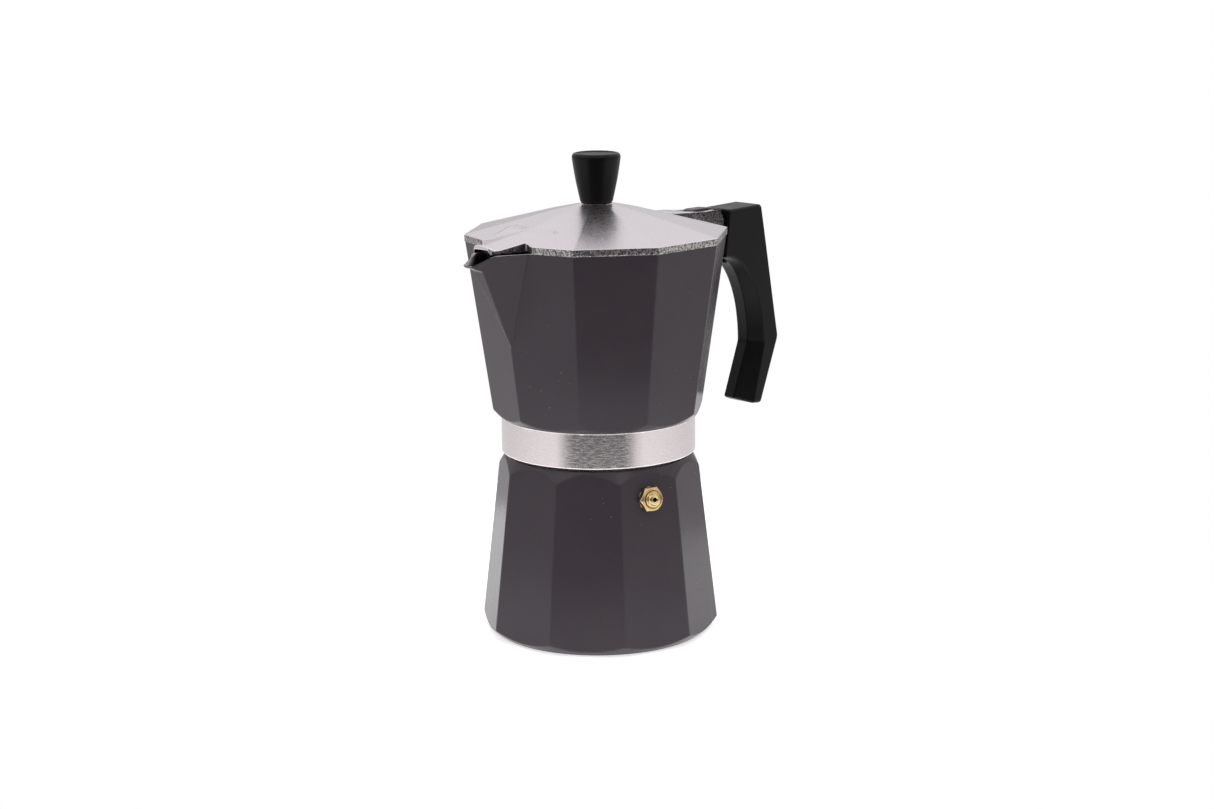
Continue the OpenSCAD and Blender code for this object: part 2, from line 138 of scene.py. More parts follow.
def finish_mesh(name, bm, body, replaces, materials, sharp=None):
    """Turns a bmesh in millimetres into a smooth-shaded piece that rides on a body."""
    bmesh.ops.remove_doubles(bm, verts=bm.verts, dist=1e-4)
    bmesh.ops.dissolve_degenerate(bm, edges=bm.edges, dist=1e-5)
    bmesh.ops.recalc_face_normals(bm, faces=bm.faces)
    bmesh.ops.scale(bm, vec=(MM, MM, MM), verts=bm.verts)
    mesh = bpy.data.meshes.new(name)
    bm.to_mesh(mesh)
    bm.free()
    for m in materials:
        mesh.materials.append(m)
    mesh.polygons.foreach_set("use_smooth", [True] * len(mesh.polygons))
    if sharp:
        mesh.set_sharp_from_angle(angle=math.radians(sharp))
    obj = new_object(name, mesh)
    wn = obj.modifiers.new("normals", "WEIGHTED_NORMAL")
    wn.weight = 60
    wn.keep_sharp = bool(sharp)
    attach(obj, body)
    if replaces:
        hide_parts(*replaces)
    return obj


def add_grid(bm, points, row_mats, close_rows=False):
    """Adds a grid of quads: points[row][column] = (x, y, z); columns always close round."""
    rows, cols = points.shape[:2]
    verts = [bm.verts.new(p) for p in points.reshape(-1, 3)]
    last = rows if close_rows else rows - 1
    for i in range(last):
        i2 = (i + 1) % rows
        for j in range(cols):
            j2 = (j + 1) % cols
            corners = (i, j), (i, j2), (i2, j2), (i2, j)
            f = bm.faces.new([verts[r * cols + c] for r, c in corners])
            f.material_index = row_mats[i]


def polar(theta, r, z):
    """Row of points from their angles, radii and heights."""
    return np.stack([r * np.cos(theta), r * np.sin(theta), z + 0 * r], axis=-1)


def turned(name, profile, body, replaces, materials, segments, frame_matrix=None):
    """Solid of revolution about +Z from (radius, height) points, on the axis at both ends or closed."""
    theta = np.arange(segments) * TAU / segments
    pts = np.array([[p[0], p[1]] for p in profile])
    grid = np.stack([polar(theta, np.full(segments, r), np.full(segments, z)) for r, z in pts])
    closed = pts[0][0] > 1e-6
    bm = bmesh.new()
    add_grid(bm, grid, [0] * len(pts), close_rows=closed)
    if frame_matrix is not None:
        bmesh.ops.transform(bm, matrix=frame_matrix, verts=bm.verts)
    return finish_mesh(name, bm, body, replaces, materials)


def flats(theta, apothem, turn, k=0.4, sides=10):
    """Radius of a body with flat sides at an angle, its corners slightly rounded."""
    step_a = TAU / sides
    d = np.mod(theta - turn, step_a) - step_a / 2
    other = step_a - np.abs(d)
    return smin(apothem / np.cos(d), apothem / np.cos(other), k)


def sector_angles(turn, corner_mm, radius, flat_columns, sides=10):
    """Column angles: close together round each corner, wider apart over each flat."""
    out = []
    step_a = TAU / sides
    edge = max(corner_mm) / radius
    for s in range(sides):
        base = turn + s * step_a
        out += [base + c / radius for c in corner_mm]
        out += list(base + edge + (step_a - 2 * edge) * np.arange(1, flat_columns + 1) / (flat_columns + 1))
    return np.array(sorted(out))


# ---------------------------------------------------------------- materials
class Nodes:
    """Small helper for building node materials."""

    def __init__(self, name):
        self.mat = bpy.data.materials.new(name)
        self.mat.use_nodes = True
        self.tree = self.mat.node_tree
        self.bsdf = self.tree.nodes["Principled BSDF"]

    def add(self, kind, inputs=None, **props):
        n = self.tree.nodes.new(kind)
        for k, v in props.items():
            setattr(n, k, v)
        for k, v in (inputs or {}).items():
            self.put(n.inputs[k], v)
        return n

    def put(self, socket, v):
        if isinstance(v, bpy.types.NodeSocket):
            self.tree.links.new(v, socket)
        else:
            socket.default_value = v

    def set(self, **values):
        for k, v in values.items():
            self.put(self.bsdf.inputs[k.replace("_", " ")], v)

    def point(self, scale=(1, 1, 1)):
        tc = self.add("ShaderNodeTexCoord")
        return self.add("ShaderNodeMapping", {"Vector": tc.outputs["Object"], "Scale": scale}).outputs[0]

    def noise(self, vector, scale, detail=3.0, rough=0.5):
        inputs = {"Vector": vector, "Scale": scale, "Detail": detail, "Roughness": rough}
        return self.add("ShaderNodeTexNoise", inputs).outputs["Fac"]

    def remap(self, value, a, b, c, d, smooth=False):
        inputs = {"Value": value, "From Min": a, "From Max": b, "To Min": c, "To Max": d}
        n = self.add("ShaderNodeMapRange", inputs)
        n.interpolation_type = "SMOOTHSTEP" if smooth else "LINEAR"
        return n.outputs["Result"]

    def spread(self, noise, low, high):
        """A noise's usual range, 0.3 to 0.7, taken to low to high."""
        return self.remap(noise, 0.3, 0.7, low, high)

    def tint(self, noise, a, b):
        """Colour that wanders between a and b with a noise."""
        return self.mix(self.spread(noise, 0, 1), a, b)

    def math(self, op, a, b):
        return self.add("ShaderNodeMath", {0: a, 1: b}, operation=op).outputs[0]

    def mix(self, fac, a, b):
        n = self.add("ShaderNodeMix", data_type="RGBA")
        self.put(n.inputs[0], fac)
        self.put(n.inputs[6], a)
        self.put(n.inputs[7], b)
        return n.outputs[2]

    def bump(self, height, distance, strength=1.0, normal=None):
        n = self.add("ShaderNodeBump", {"Height": height, "Distance": distance, "Strength": strength})
        if normal is not None:
            self.put(n.inputs["Normal"], normal)
        return n.outputs[0]

    def cylinder(self, around, along):
        """Coordinates (angle, height) round +Z, for grain that runs round a turned surface."""
        tc = self.add("ShaderNodeTexCoord")
        xyz = self.add("ShaderNodeSeparateXYZ", {"Vector": tc.outputs["Object"]})
        angle = self.math("ARCTAN2", xyz.outputs[1], xyz.outputs[0])
        across = self.add("ShaderNodeCombineXYZ", {"X": xyz.outputs[0], "Y": xyz.outputs[1]}).outputs[0]
        radius = self.add("ShaderNodeVectorMath", {"Vector": across}, operation="LENGTH").outputs["Value"]
        scaled = {"X": self.math("MULTIPLY", angle, around),
            "Y": self.math("MULTIPLY", xyz.outputs[2], along), "Z": self.math("MULTIPLY", radius, along)}
        return self.add("ShaderNodeCombineXYZ", scaled).outputs[0]


def rgb(r, g, b):
    """Linear colour from 8-bit sRGB values."""
    f = lambda c: c / 12.92 if c <= 0.04045 else ((c + 0.055) / 1.055) ** 2.4
    return (f(r / 255), f(g / 255), f(b / 255), 1.0)


def paint():
    """Satin grey lacquer: fine orange peel, a little uneven gloss, and scattered specks of dust."""
    n = Nodes("grey_lacquer")
    p = n.point()
    cloud = n.noise(p, 38, 3)
    grain = n.noise(p, 2600, 2, 0.6)
    peel = n.noise(p, 260, 2, 0.4)
    cell = n.add("ShaderNodeTexVoronoi", {"Vector": p, "Scale": 520.0}, feature="F1")
    cell_id = n.add("ShaderNodeSeparateColor", {"Color": cell.outputs["Color"]}).outputs[0]
    small = n.remap(cell.outputs["Distance"], 0.06, 0.16, 1, 0, True)
    patch = n.remap(n.noise(p, 30, 2), 0.50, 0.62, 0, 1, True)
    speck = n.math("MULTIPLY", n.math("MULTIPLY", small, n.math("GREATER_THAN", cell_id, 0.90)), patch)
    base = n.tint(cloud, rgb(59, 52, 58), rgb(63, 56, 62))
    base = n.mix(n.remap(grain, 0.35, 0.75, 0, 0.22), base, rgb(80, 73, 79))
    base = n.mix(n.math("MULTIPLY", speck, 0.6), base, rgb(150, 140, 130))
    n.set(IOR=1.33, Base_Color=base, Roughness=n.spread(cloud, 0.18, 0.22),
        Normal=n.bump(grain, 0.000012, 1.0, n.bump(peel, 0.00001, 0.6)))
    return n.mat


def lid_metal():
    """Tumbled cast aluminium: bright and even, with a fine sanded grain that breaks reflections up."""
    n = Nodes("satin_aluminium")
    p = n.point()
    grain = n.noise(p, 1300, 3, 0.6)
    cloud = n.noise(p, 45, 3)
    streak = n.noise(n.point((1, 1, 5)), 420, 3, 0.6)
    base = n.tint(grain, rgb(229, 223, 228), rgb(234, 228, 233))
    base = n.mix(n.remap(cloud, 0.4, 0.75, 0, 0.6), base, rgb(236, 226, 227))
    rough = n.math("ADD", n.spread(grain, 0.26, 0.33), n.spread(streak, -0.03, 0.03))
    n.set(Metallic=1.0, Base_Color=base, Roughness=rough,
        Normal=n.bump(streak, 0.00001, 0.8, n.bump(grain, 0.000008, 0.7)))
    return n.mat


def edge_metal(name, dark, light):
    """Aluminium as filed after casting: short dark and bright tears."""
    n = Nodes(name)
    wide = n.noise(n.cylinder(50, 1300), 1, 4, 0.7)
    tear = n.noise(n.cylinder(80, 1100), 1, 3, 0.75)
    base = n.mix(n.remap(tear, 0.42, 0.6, 0, 1, True), dark, light)
    n.set(Metallic=1.0, Base_Color=base, Roughness=n.spread(wide, 0.12, 0.42),
        Normal=n.bump(tear, 0.00015, 1.0, n.bump(wide, 0.00006, 0.9)))
    return n.mat


def band_metal():
    """Lathe-turned aluminium: hair-fine grooves round the band, with a torn grain in its gloss."""
    n = Nodes("turned_band")
    groove = n.noise(n.cylinder(2.5, 5200), 1, 2, 0.7)
    scratch = n.noise(n.cylinder(16, 2600), 1, 2, 0.6)
    tear = n.noise(n.cylinder(13, 2000), 1, 3, 0.7)
    base = n.tint(scratch, rgb(232, 224, 225), rgb(239, 231, 232))
    n.set(Metallic=1.0, Base_Color=base, Roughness=n.remap(tear, 0.36, 0.62, 0.10, 0.30),
        Normal=n.bump(tear, 0.000003, 0.6, n.bump(scratch, 0.000008, 0.8, n.bump(groove, 0.000003, 0.6))))
    return n.mat


def spout_shade_metal():
    """Painted shade for the inside of the pouring spout: a near-black copy of its metal."""
    n = Nodes("spout_painted_shade")
    p = n.point()
    cloud = n.noise(p, 240, 4, 0.6)
    grain = n.noise(p, 1400, 3, 0.6)
    n.set(Metallic=0.6, Base_Color=n.mix(n.remap(cloud, 0.35, 0.7, 0, 1), rgb(26, 23, 21), rgb(70, 60, 54)),
        Roughness=n.spread(grain, 0.35, 0.55), Normal=n.bump(grain, 0.00003, 0.7))
    return n.mat


def cast_metal():
    """Bare die-cast aluminium of the insides: duller, slightly pitted."""
    n = Nodes("cast_aluminium")
    p = n.point()
    grain = n.noise(p, 900, 4, 0.65)
    cloud = n.noise(p, 60, 3)
    pits = n.add("ShaderNodeTexVoronoi", {"Vector": p, "Scale": 700.0}).outputs["Distance"]
    base = n.tint(cloud, rgb(176, 173, 174), rgb(196, 193, 193))
    n.set(Metallic=1.0, Base_Color=base, Roughness=n.spread(grain, 0.38, 0.56),
        Normal=n.bump(n.remap(pits, 0, 0.25, 0, 1), 0.00003, 0.5, n.bump(grain, 0.00004, 0.7)))
    return n.mat


def turned_metal():
    """Faced aluminium disc under the boiler, with concentric tool marks."""
    n = Nodes("faced_aluminium")
    ring = n.noise(n.cylinder(0.6, 3000), 1, 2, 0.6)
    n.set(Metallic=1.0, Base_Color=n.tint(ring, rgb(168, 165, 166), rgb(206, 203, 203)),
        Roughness=n.spread(ring, 0.26, 0.42), Normal=n.bump(ring, 0.00003, 0.8))
    return n.mat


def pressed_metal():
    """Spun and punched sheet aluminium of the funnel and filters."""
    n = Nodes("spun_aluminium")
    ring = n.noise(n.cylinder(3.0, 1400), 1, 3, 0.6)
    grain = n.noise(n.point(), 1800, 3)
    n.set(Metallic=1.0, Base_Color=n.tint(ring, rgb(200, 197, 198), rgb(228, 225, 225)),
        Roughness=n.spread(ring, 0.22, 0.36),
        Normal=n.bump(grain, 0.00001, 0.6, n.bump(ring, 0.00002, 0.6)))
    return n.mat


def plastic():
    """Black moulded phenolic: satin, with a very fine texture and faint flow clouding."""
    n = Nodes("black_phenolic")
    p = n.point()
    grain = n.noise(p, 3200, 2, 0.6)
    wave = n.noise(p, 160, 3, 0.5)
    cloud = n.noise(p, 40, 3)
    dust_cell = n.add("ShaderNodeTexVoronoi", {"Vector": p, "Scale": 420.0}, feature="F1")
    dust_id = n.add("ShaderNodeSeparateColor", {"Color": dust_cell.outputs["Color"]}).outputs[0]
    dust_dot = n.remap(dust_cell.outputs["Distance"], 0.03, 0.1, 1, 0, True)
    dust = n.math("MULTIPLY", dust_dot, n.math("GREATER_THAN", dust_id, 0.975))
    base = n.tint(cloud, rgb(9, 8, 9), rgb(14, 12, 13))
    base = n.mix(n.math("MULTIPLY", dust, 0.3), base, rgb(120, 112, 105))
    n.set(IOR=1.27, Base_Color=base, Roughness=n.spread(wave, 0.28, 0.36),
        Normal=n.bump(grain, 0.000012, 0.8, n.bump(wave, 0.00004, 0.35)))
    return n.mat


def brass():
    """Turned brass: warm, bright, with fine tool marks and a tone that wanders a little."""
    n = Nodes("turned_brass")
    p = n.point()
    grain = n.noise(p, 2600, 3, 0.6)
    cloud = n.noise(p, 260, 3)
    n.set(Metallic=1.0, Base_Color=n.tint(cloud, rgb(205, 178, 124), rgb(226, 204, 156)),
        Roughness=n.spread(grain, 0.16, 0.30), Normal=n.bump(grain, 0.00001, 0.8))
    return n.mat


def steel():
    """Zinc-plated steel of the screws, washers, pin, ball and spring."""
    n = Nodes("plated_steel")
    p = n.point()
    grain = n.noise(p, 3000, 3, 0.6)
    cloud = n.noise(p, 300, 2)
    n.set(Metallic=1.0, Base_Color=n.tint(cloud, rgb(176, 176, 180), rgb(206, 205, 207)),
        Roughness=n.spread(grain, 0.20, 0.34), Normal=n.bump(grain, 0.00001, 0.7))
    return n.mat


def silicone():
    """Off-white food-grade sealing ring."""
    n = Nodes("white_silicone")
    p = n.point()
    grain = n.noise(p, 1200, 3, 0.6)
    cloud = n.noise(p, 70, 3)
    n.set(Base_Color=n.tint(cloud, rgb(226, 224, 214), rgb(238, 236, 229)),
        Roughness=n.spread(grain, 0.45, 0.6), Normal=n.bump(grain, 0.00003, 0.6),
        Subsurface_Weight=0.15, Subsurface_Scale=0.002)
    return n.mat


PAINT, LID_METAL, BAND, CAST, TURNED = paint(), lid_metal(), band_metal(), cast_metal(), turned_metal()
EDGE = edge_metal("filed_rim", rgb(104, 101, 101), rgb(216, 211, 211))
# a darker copy of the filed metal that paints shade on the hinge ears' flanks, the hood's side skirt and
# the pin's ends
FLANK_SHADE = edge_metal("painted_shade_flanks", rgb(52, 50, 52), rgb(112, 109, 110))
# near-black metal that paints the shade inside the spout
SPOUT_SHADE = spout_shade_metal()
PRESSED, PLASTIC, BRASS, STEEL, SILICONE = pressed_metal(), plastic(), brass(), steel(), silicone()


# ---------------------------------------------------------------- boiler
def boiler_corner(z):
    """Corner radius at a height."""
    return BOILER_CORNER - BOILER_TAPER * z


def ridge(theta, z, phase):
    """Height share of a rounded thread ridge on a right-hand helix."""
    t = np.mod((z - PITCH * theta / TAU) / PITCH + phase, 1.0)
    t = np.abs(t - 0.5) * 2
    return step(t, 0.55, 0.95)


def crossing(f, g, low, high):
    """Height where f(z) - g(z) changes sign, for arrays of columns."""
    a, b = np.array(low, float) + 0 * f(low), np.array(high, float) + 0 * f(high)
    sign = np.sign(f(a) - g(a))
    for _ in range(40):
        m = (a + b) / 2
        same = np.sign(f(m) - g(m)) == sign
        a, b = np.where(same, m, a), np.where(same, b, m)
    return (a + b) / 2


def boiler():
    theta = sector_angles(BOILER_TURN, CORNER_COLUMNS, 48, 12)
    foot = fillet([(46.6, 0), (49.0, 1.9), (54.2, 7.1)], [0, 1.5, 0])
    foot_r, foot_z = [p[0] for p in foot], [p[1] for p in foot]
    top = fillet([(54.2, 55.2), (43.9, 72.6), (41.3, 77.0), (40.4, 78.5)], [0, 6, 1.5, 0])
    top_r, top_z = [p[0] for p in top], [p[1] for p in top]

    def side(z):
        return flats(theta, boiler_corner(z) * FLAT, BOILER_TURN)

    def low(z):
        return np.interp(z, foot_z, foot_r)

    def high(z):
        return np.interp(z, top_z, top_r)

    def outside(z):
        return smin(smin(side(z), low(z), 0.5), high(z), 0.4)

    zero = 0 * theta
    za = crossing(side, low, zero + 0.5, zero + 7)
    zb = crossing(side, high, zero + 60, zero + 78)
    rows = [(zero + r, zero) for r in (0, 15, 30, 42, 46.0)]
    rows += [(zero + 46.6 + s, zero + z) for s, z in ((-0.15, 0.02), (0.18, 0.13))]
    heights = [zero + 0.5, (zero + 0.5 + za - 0.9) / 2]
    heights += [za + s for s in (-0.9, -0.5, -0.25, 0, 0.25, 0.5, 0.9)]
    heights += [za + 1.6 + (zb - 2.6 - za) * t for t in np.linspace(0, 1, 14)]
    heights += [zb + s for s in (-0.6, -0.4, -0.2, 0, 0.2, 0.4, 0.6)]
    heights += [zb + 0.6 + (78.25 - zb - 0.6) * t for t in (0.3, 0.6, 0.85, 1.0)]
    rows += [(outside(z), z) for z in heights]
    neck = ((40.35, 78.45), (40.1, 78.5), (39.2, 78.5), (38.5, 78.56), (38.2, 78.75))
    rows += [(zero + r, zero + z) for r, z in neck]
    for z in np.arange(79.0, 89.3, 0.25):
        fade = step(z, 79.2, 80.5) * (1 - step(z, 88.0, 89.2))
        rows.append((38.2 + 0.5 * fade * ridge(theta, z, 0.5), zero + z))
    inner = [(38.1, 89.6), (37.8, 89.9), (37.4, 90), (34.6, 90), (34.15, 89.9), (34, 89.5), (34, 84),
        (34, 76), (34.3, 74.6), (39.2, 68.4), (39.6, 67), (42.2, 44), (44.4, 24), (46.4, 6.6), (46.2, 4.9),
        (45.2, 3.5), (43.6, 3.05), (40, 3), (20, 3), (0, 3)]
    rows += [(zero + r, zero + z) for r, z in inner]
    grid = np.stack([polar(theta, r, z) for r, z in rows])
    # 0 paint, 1 bare metal from the neck's thread inwards, 2 turned foot
    disc, painted = 5, 4 + len(heights)
    mats = [2] * disc + [0] * painted + [1] * (len(rows) - disc - painted)
    bm = bmesh.new()
    add_grid(bm, grid, mats)
    return finish_mesh("boiler_shell", bm, "boiler", ["boiler"], [PAINT, CAST, TURNED])


# ---------------------------------------------------------------- collector
def collector_corner(z):
    """Corner radius at a height: 45.4 mm at the lower end and 11.1 mm more at the rim."""
    return 45.4 + 11.1 * (z - COLLECTOR_Z) / (COLLECTOR_TOP - COLLECTOR_Z)


# the spout's side planes as normal and distance, its front, and its rim by degrees from -X
SIDE_1 = ((0.4255, 0.8547, -0.2983), -17.641)
SIDE_2 = ((0.2262, 0.9292, -0.2921), -29.977)
FRONT_Z = (SPOUT_FOOT_Z, 165.0, 165.8, 166.8, 167.4, 167.9, 172)
FRONT_OUT = (50.66, 68.05, 69.3, 72.7, 73.45, 73.6, 73.6)
FRONT_IN = (47.9, 65.3, 66.6, 70.2, 71.7, 72.75, 74.5)
RIM_ANGLE = (0, 1.6, 2.2, 2.9, 3.66, 4.5, 5.24, 5.94, 6.6, 40)
RIM_Z = (167.9, 167.9, 168.25, 169.05, 169.9, 170.72, 171.3, 171.62, COLLECTOR_TOP, COLLECTOR_TOP)


def plane_r(a, z, plane, shift=0.0):
    """Radius where a ray at angle a from -X meets one of the spout's side planes."""
    (nx, ny, nz), d = plane
    return (d - shift - nz * z) / (nx * np.cos(a) + ny * np.sin(a))


def spout_out(a, z):
    """Outer radius of the spout at angle a from -X, or 0 below it."""
    side = smax(plane_r(a, z, SIDE_1), plane_r(a, z, SIDE_2), 0.5)
    side = np.where(z > 160, side, plane_r(a, z, SIDE_1))
    front = np.interp(z, FRONT_Z, FRONT_OUT) / np.cos(a)
    return np.where(z > SPOUT_FOOT_Z, smin(side, front, 0.5), 0)


def spout_in(a, z):
    """Inner radius of the spout, the same way."""
    side = smax(plane_r(a, z, SIDE_1, 1.15), plane_r(a, z, SIDE_2, 1.0), 0.5)
    side = np.where(z > 160, side, plane_r(a, z, SIDE_1, 1.15))
    front = np.interp(z, FRONT_Z, FRONT_IN) / np.cos(a)
    return np.where(z > SPOUT_FOOT_Z, smin(side, front, 0.8), 0)


def spout_columns(z):
    """Angles from -X of the columns on one side of the spout, at one height."""
    t1 = np.interp(z, (SPOUT_FOOT_Z, 165.3, 167.1, 167.9), (0, 2.6, 1.87, 1.79))      # front's corner
    lo, hi = 0.0, 18.0
    body = lambda a: float(flats(np.array([math.pi + math.radians(a)]), collector_corner(z) * FLAT, 0.0)[0])
    wedge = lambda a: float(plane_r(math.radians(a), z, SIDE_1))
    if z <= SPOUT_FOOT_Z + 0.1:
        t2 = 0.0                             # where the spout's side meets the body
    else:
        for _ in range(30):
            m = (lo + hi) / 2
            if wedge(m) > body(m):
                lo = m
            else:
                hi = m
        t2 = (lo + hi) / 2
    base = 0.17 * np.arange(1, 25)           # degrees, below the spout
    foot = max(t2, t1 + 2.2)
    target = [t1 * f for f in (0.3, 0.6, 0.8)]
    target += [t1 + s for s in (-0.22, -0.08, 0.08, 0.22, 0.4)]
    target += list(t1 + 0.4 + (foot - 1.3 - t1) * np.linspace(0.08, 0.98, 11))
    target += [foot + s for s in (-0.7, -0.4, 0, 0.4, 0.8)]
    blend = float(np.clip((z - SPOUT_FOOT_Z) / 16, 0, 1))
    return np.radians(base * (1 - blend) + np.array(target) * blend)


def collector_theta(z):
    """Angles of all columns at a height; the ones near -X fan out with the spout."""
    plain = sector_angles(0.0, CORNER_COLUMNS, 50, 12)
    fan = math.radians(SPOUT_HALF + 0.2)
    keep = plain[np.abs(np.mod(plain, TAU) - math.pi) > fan]
    half = spout_columns(z)
    last = half[-1]
    more = last + (fan - last) * np.array([0.3, 0.65])
    near = np.concatenate([[0.0], half, more])
    near = np.concatenate([-near[:0:-1], near])
    keep = np.mod(keep, TAU)
    return np.concatenate([np.sort(keep[keep < math.pi]), math.pi + near, np.sort(keep[keep > math.pi])])


def spout_angle(theta):
    """Angle from -X."""
    return np.abs(np.mod(theta, TAU) - math.pi)


def collector_out(theta, z):
    a = spout_angle(theta)
    undercut = np.interp(z, UNDERCUT_Z, UNDERCUT_R)
    body = smin(flats(theta, collector_corner(z) * FLAT, 0.0), undercut, 0.4)
    return np.where(a < math.radians(SPOUT_HALF), smax(body, spout_out(a, z), 0.35), body)


def collector_in(theta, z):
    a = spout_angle(theta)
    body = flats(theta, collector_corner(z) * FLAT - 2.0, 0.0, k=1.2)
    return np.where(a < math.radians(SPOUT_HALF), smax(body, spout_in(a, z), 0.6), body)


def collector():
    base = collector_theta(100.0)
    n = len(base)
    zero = 0 * base
    cols = {}

    def theta_at(z):
        """Column angles where each column has its own height z."""
        out = np.empty(n)
        for j in range(n):
            key = round(float(z[j]) * 8) / 8
            if key not in cols:
                cols[key] = collector_theta(key)
            out[j] = cols[key][j]
        return out

    def rim_z(theta):
        return np.interp(np.degrees(spout_angle(theta)), RIM_ANGLE, RIM_Z)

    top = zero + COLLECTOR_TOP
    for _ in range(6):
        top = rim_z(theta_at(top))
    side = lambda z: flats(base, collector_corner(z) * FLAT, 0.0)
    under = lambda z: np.interp(z, UNDERCUT_Z, UNDERCUT_R)
    # height where the turned undercut runs out into the flat sides
    za = crossing(side, under, zero + 95.2, zero + 101)

    rows, mats = [], []                      # mats: 0 paint, 1 bare casting, 2 band

    def row(r, z, mat, theta=None):
        theta = base if theta is None else theta
        rows.append(polar(theta, r + 0 * theta, z + 0 * theta))
        mats.append(mat)

    # underside: socket, dome over the filter plate, recess, thread
    for r, z in ((8, 116), (8, 108), (4.5, 108), (4.6, 107.8), (8, 106.2), (12, 103.9), (16, 101.5),
            (21, 99.1), (27, 96.0), (30.6, 95.2), (31, 94.8), (31, 93.9), (31.3, 93.8), (38.5, 93.8),
            (38.9, 93.5)):
        row(r, z, 1)
    for z in np.arange(93.0, 81.4, -0.25):
        fade = step(z, 81.6, 82.6) * (1 - step(z, 90.5, 91.5))
        row(38.9 - 0.5 * fade * ridge(base, z, 0.0), z, 1)
    # machined band
    for r, z in ((38.9, 80.6), (39.4, 79.8), (39.6, 79.7), (41.55, 79.7), (41.87, 79.82)):
        row(r, z, 2)
    for z in (80.1, 80.4, 84, 88, 92, 94.4, 94.9):
        row(42.0, z, 2)
    row(42.06, 95.05, 2)
    row(42.3, COLLECTOR_Z, 0)
    # outside, with rows that turn from level to the rim's slope above 160
    heights = [zero + 95.2, zero + 95.35]
    heights += [95.35 + (za - 95.35) * t for t in (0.35, 0.7)]
    heights += [za + s for s in (-0.1, 0.05, 0.2, 0.4)]
    heights += [za + 0.7 + (102.5 - za - 0.7) * t for t in (0.0, 0.4, 1.0)]
    heights += [zero + z for z in np.linspace(106, 130, 7)]
    heights += [zero + z for z in (131.5, 133, 135, 138, 142, 147, 152, 157)]
    for t in (0.0, 0.15, 0.3, 0.42, 0.5, 0.57, 0.64, 0.7, 0.76, 0.82, 0.88, 0.93, 0.965, 0.985):
        heights.append(160 + (top - 160) * t)
    for z in heights:
        theta = theta_at(z)
        row(collector_out(theta, z), z, 0, theta)
    # rim, with the paint ground off its outer edge at the spout
    theta = theta_at(top)
    r_out, r_in = collector_out(theta, top - 0.25), collector_in(theta, top)
    gap = r_out - r_in
    ground = 0.1 + 0.4 * (1 - step(np.degrees(spout_angle(theta)), 5.5, 8.5))
    row(r_out - 0.02, top - ground, 1, theta)
    row(r_out - 0.35 * ground, top - 0.35 * ground, 1, theta)
    row(r_out - 0.2 - 0.5 * ground, top, 1, theta)
    row(r_out - 0.5 * gap, top, 1, theta)
    row(r_in + 0.2 * gap, top, 1, theta)
    row(r_in + 0.05 * gap, top - 0.12, 1, theta)
    # inside, down to the floor and the coffee column's socket
    for t in (0.985, 0.96, 0.92, 0.88, 0.82, 0.76, 0.7, 0.62, 0.52, 0.4, 0.25, 0.1):
        z = 160 + (top - 160) * t
        theta = theta_at(z)
        row(collector_in(theta, z), z, 1, theta)
    for h in (157, 152, 147, 142, 138, 135, 133, 131.5, 125, 118, 111, 106.5):
        z = zero + h
        theta = theta_at(z)
        row(collector_in(theta, z), z, 1, theta)
    wall = collector_in(base, zero + 105.5)
    for s, c in arc(15, 30, 45, 60, 75, 90):
        row(wall - 0.1 - 3.6 * (1 - c) - 0.1 * s, 104.8 - 3.6 * s, 1)
    for r, z in ((37.5, 101.25), (34, 102), (29, 103.4), (25, 104.6), (20, 106.5), (15.4, 108.7),
            (12.6, 111), (11.4, 113), (10.95, 115.2), (10.6, 115.85), (10.1, 116)):
        row(r, z, 1)
    bm = bmesh.new()
    add_grid(bm, np.stack(rows), mats, close_rows=True)
    for face in bm.faces:
        x, y, z = face.calc_center_median()
        rim = np.interp(math.degrees(math.atan2(abs(y), -x)), RIM_ANGLE, RIM_Z)
        if face.material_index == 1 and 150 < z < rim - 0.7 and x < -49 and abs(y) < 10:
            face.material_index = 3          # inside of the spout, darkened as painted shade
    skins = [PAINT, CAST, BAND, SPOUT_SHADE]
    return finish_mesh("collector_shell", bm, "collector", ["collector"], skins)


# ---------------------------------------------------------------- extruded and bevelled blocks
def extruded(outline, y0, y1):
    """Solid of an outline in the XZ plane between two y values, as a bmesh."""
    bm = bmesh.new()
    a = [bm.verts.new((p[0], y0, p[1])) for p in outline]
    b = [bm.verts.new((p[0], y1, p[1])) for p in outline]
    n = len(outline)
    bm.faces.new(a)
    bm.faces.new(b[::-1])
    for i in range(n):
        bm.faces.new((a[i], b[i], b[(i + 1) % n], a[(i + 1) % n]))
    bmesh.ops.recalc_face_normals(bm, faces=bm.faces)
    return bm


def bevel(bm, edges, width, segments):
    bmesh.ops.bevel(bm, geom=edges, offset=width, segments=segments, profile=0.5, affect="EDGES",
        clamp_overlap=True)


def bevel_sharp(bm, width, segments, limit):
    """Rounds every edge that turns by more than limit degrees."""
    sharp = [e for e in bm.edges if len(e.link_faces) == 2 and e.calc_face_angle(0) > math.radians(limit)]
    bevel(bm, sharp, width, segments)


def cut_by(obj_a, obj_b):
    """Object a less object b, both temporary, as a bmesh."""
    mod = obj_a.modifiers.new("b", "BOOLEAN")
    mod.operation, mod.solver, mod.object = "DIFFERENCE", "EXACT", obj_b
    bpy.context.view_layer.update()
    dg = bpy.context.evaluated_depsgraph_get()
    bm = bmesh.new()
    bm.from_mesh(bpy.data.meshes.new_from_object(obj_a.evaluated_get(dg)))
    for o in (obj_a, obj_b):
        bpy.data.objects.remove(o)
    return bm


